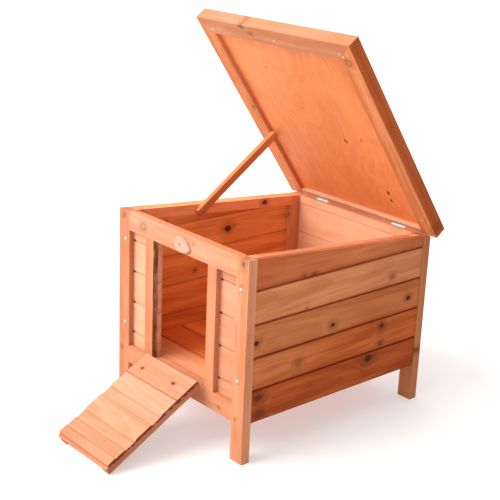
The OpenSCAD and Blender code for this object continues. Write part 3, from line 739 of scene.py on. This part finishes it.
# ------------------------------------------------------------------ finishes and softened edges on the nodes
THIN_BOARDS = ("ramp_board", "ramp_foot", "front_boards")
THIN_EDGE = 0.0007
EDGE = 0.0011


def soften_edges(obj, width):
    """Small rounding on the sharp edges of planed timber and felt."""
    soften = obj.modifiers.new("soften", "BEVEL")
    soften.width = width
    soften.segments = 2
    soften.limit_method = "ANGLE"
    soften.angle_limit = math.radians(50)
    soften.use_clamp_overlap = True


for node, obj in frame["nodes"].items():
    obj.data.materials.clear()
    obj.data.materials.append(looks[node])
    if node != "lid_ceiling" and node not in STEEL_NODES:
        soften_edges(obj, THIN_EDGE if node.startswith(THIN_BOARDS) else EDGE)

# ------------------------------------------------------------------ small nails and screws
# rings of a domed head, from its foot inside the timber up: share of the radius, share of the height
HEAD_RINGS = ((1.0, -1.2), (1.0, 0.0), (0.86, 0.45), (0.55, 0.8))
HEAD_SIDES = 14


def add_head(bm, matrix, radius, height):
    """Low domed head, closed underneath inside the timber."""
    angles = [2 * math.pi * k / HEAD_SIDES for k in range(HEAD_SIDES)]
    rings = []
    for width, rise in HEAD_RINGS:
        reach = radius * width
        points = [Vector((reach * math.cos(a), reach * math.sin(a), height * rise)) for a in angles]
        rings.append([bm.verts.new(matrix @ point) for point in points])
    top = bm.verts.new(matrix @ Vector((0, 0, height)))
    for k in range(HEAD_SIDES):
        after = (k + 1) % HEAD_SIDES
        for low, high in zip(rings, rings[1:]):
            bm.faces.new((low[k], low[after], high[after], high[k]))
        bm.faces.new((rings[-1][k], rings[-1][after], top))
    bm.faces.new(list(reversed(rings[0])))


def heads(name, body, points, out, material, radius, height):
    """Heads of one kind on one body. The points and the outward direction are in the body's frame."""
    turn = Vector(out).to_track_quat("Z", "Y").to_matrix().to_4x4()
    bm = bmesh.new()
    for point in points:
        add_head(bm, FRAMES[body] @ Matrix.Translation(point) @ turn, radius, height)
    bmesh.ops.recalc_face_normals(bm, faces=bm.faces)
    mesh = bpy.data.meshes.new(name)
    bm.to_mesh(mesh)
    bm.free()
    for face in mesh.polygons:
        face.use_smooth = True
    mesh.materials.append(material)
    obj = bpy.data.objects.new(name, mesh)
    scene.collection.objects.link(obj)
    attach(obj, body)


# the steel of each kind of head
bright = steel("steel_nails_bright", "ramp", (0.86, 0.80, 0.72), 0.36)
dull = steel("steel_nails_dull", "cabin", (0.62, 0.55, 0.48), 0.45)
lid_bright = steel("steel_nails_lid", "lid", (0.86, 0.80, 0.72), 0.36)
stained = steel("steel_nails_stained", "cabin", (0.13, 0.05, 0.025), 0.6)
blackened = steel("steel_screws_blackened", "ramp", (0.07, 0.035, 0.02), 0.5)
faint = steel("steel_nails_faint", "ramp", (0.44, 0.29, 0.22), 0.5)

# heads on the ramp's top
RAMP_OUT = (0, 1, 0)
FOOT_RISE = 0.0015
FOOT_MIDDLE = 0.254
foot_nails = [(x, RAMP_TOP + FOOT_RISE, FOOT_MIDDLE) for x in (-0.0417, 0.031)]
heads("ramp_foot_nails", "ramp", foot_nails, RAMP_OUT, faint, radius=0.0034, height=0.0005)
TOP_EDGE = 0.006
edge_nails = [(x, RAMP_TOP, TOP_EDGE) for x in (-0.082, -0.03, 0.028, 0.08)]
heads("ramp_edge_nails", "ramp", edge_nails, RAMP_OUT, dull, radius=0.0011, height=0.0004)
board_screws = [(x, RAMP_TOP, z) for x, z in BOARD_SCREWS]
heads("ramp_board_screws", "ramp", board_screws, RAMP_OUT, blackened, radius=0.0033, height=0.0005)

# heads on the lid frame's underside
LID_DOWN = (0, 0, -1)
LID_UNDERSIDE = 0.0006
LID_NAILS = (
    (0.005, -0.541),
    (0.203, -0.541),
    (0.211, -0.534),
    (-0.203, -0.541),
    (0.218, -0.052),
    (-0.218, -0.052),
)
lid_nails = [(x, y, LID_UNDERSIDE) for x, y in LID_NAILS]
heads("lid_frame_nails", "lid", lid_nails, LID_DOWN, lid_bright, radius=0.0024, height=0.0005)

# heads on the front panels, and on the left jamb's edge in the doorway
TO_THE_FRONT = (0, -1, 0)
TO_THE_RIGHT = (1, 0, 0)
PANEL_FACE = 0.013
JAMB_FACE = -0.095
JAMB_NAILS_BACK = 0.019
board_nails = [(x, PANEL_FACE, WALL_FOOT + LAP * k) for x in (-0.1835, 0.1278) for k in range(1, 5)]
heads("front_board_nails", "cabin", board_nails, TO_THE_FRONT, stained, radius=0.0033, height=0.0004)
door_nails = [(JAMB_FACE, JAMB_NAILS_BACK, z) for z in (0.330, 0.300, 0.255)]
heads("doorway_nails", "cabin", door_nails, TO_THE_RIGHT, bright, radius=0.0016, height=0.0006)

# ------------------------------------------------------------------ floor and light
FLOOR_HALF = 14.0
FLOOR_DROP = 0.0003
FLOOR_GLOW = 0.42
PAPER = (0.56, 0.56, 0.56)
PAPER_MOTTLE = (0.54, 0.54, 0.54)
DIM_SIDE = (0.34, 0.21, 0.15)
BRIGHT_SIDE = (1.32, 1.32, 1.32)
TOWARDS_BRIGHT = Vector((-0.72, -0.46, 0.52)).normalized()
SIDE_SPREAD = (-0.55, 0.65)
BACKDROP_TOP = (0.04, 0.24)
BACKDROP = 0.86
KEY_DIRECTION = Vector((0.30, 0.66, -0.68))
KEY_COLOUR = (1.0, 0.985, 0.96)
KEY_STRENGTH = 3.3
KEY_SPREAD_DEG = 40.0


def add_floor():
    """Plain pale paper under the hutch."""
    bm = bmesh.new()
    bmesh.ops.create_grid(bm, x_segments=2, y_segments=2, size=FLOOR_HALF)
    mesh = bpy.data.meshes.new("floor")
    bm.to_mesh(mesh)
    bm.free()
    t = Finish("floor_paper")
    x, y, _ = t.place(Matrix.Identity(4))
    mottle = t.noise(x * 3.0, y * 3.0, 0.0, detail=3.0)
    t.set(Base_Color=t.mix(mottle, PAPER, PAPER_MOTTLE), Roughness=0.9)
    t.set(Emission_Color=(1.0, 1.0, 1.0), Emission_Strength=FLOOR_GLOW, Specular_IOR_Level=0.1)
    mesh.materials.append(t.material)
    floor = bpy.data.objects.new("floor", mesh)
    floor.location.z = -FLOOR_DROP
    scene.collection.objects.link(floor)


def add_world():
    """A bright side and a dim, warm side, with a backdrop that stays pale down to the floor's edge."""
    world = bpy.data.worlds.new("studio")
    scene.world = world
    world.use_nodes = True
    t = Tree(world.node_tree)
    x, y, z = t.split(t.node("TexCoord").outputs["Generated"])
    toward = x * TOWARDS_BRIGHT.x + y * TOWARDS_BRIGHT.y + z * TOWARDS_BRIGHT.z
    backdrop = z.ramp(*BACKDROP_TOP, BACKDROP, 0.0)
    sky = t.mix(toward.ramp(*SIDE_SPREAD).most(backdrop), DIM_SIDE, BRIGHT_SIDE)
    background = t.node("Background")
    t.put(background.inputs[0], sky)
    t.put(background.inputs[1], 1.0)
    t.put(t.node("OutputWorld").inputs[0], background.outputs[0])


def add_key():
    """One large soft light from the front left."""
    data = bpy.data.lights.new("key", "SUN")
    data.energy = KEY_STRENGTH
    data.angle = math.radians(KEY_SPREAD_DEG)
    data.color = KEY_COLOUR
    key = bpy.data.objects.new("key", data)
    key.rotation_euler = KEY_DIRECTION.to_track_quat("-Z", "Y").to_euler()
    scene.collection.objects.link(key)


add_floor()
add_world()
add_key()
scene.view_settings.view_transform = "Standard"
scene.view_settings.look = "None"
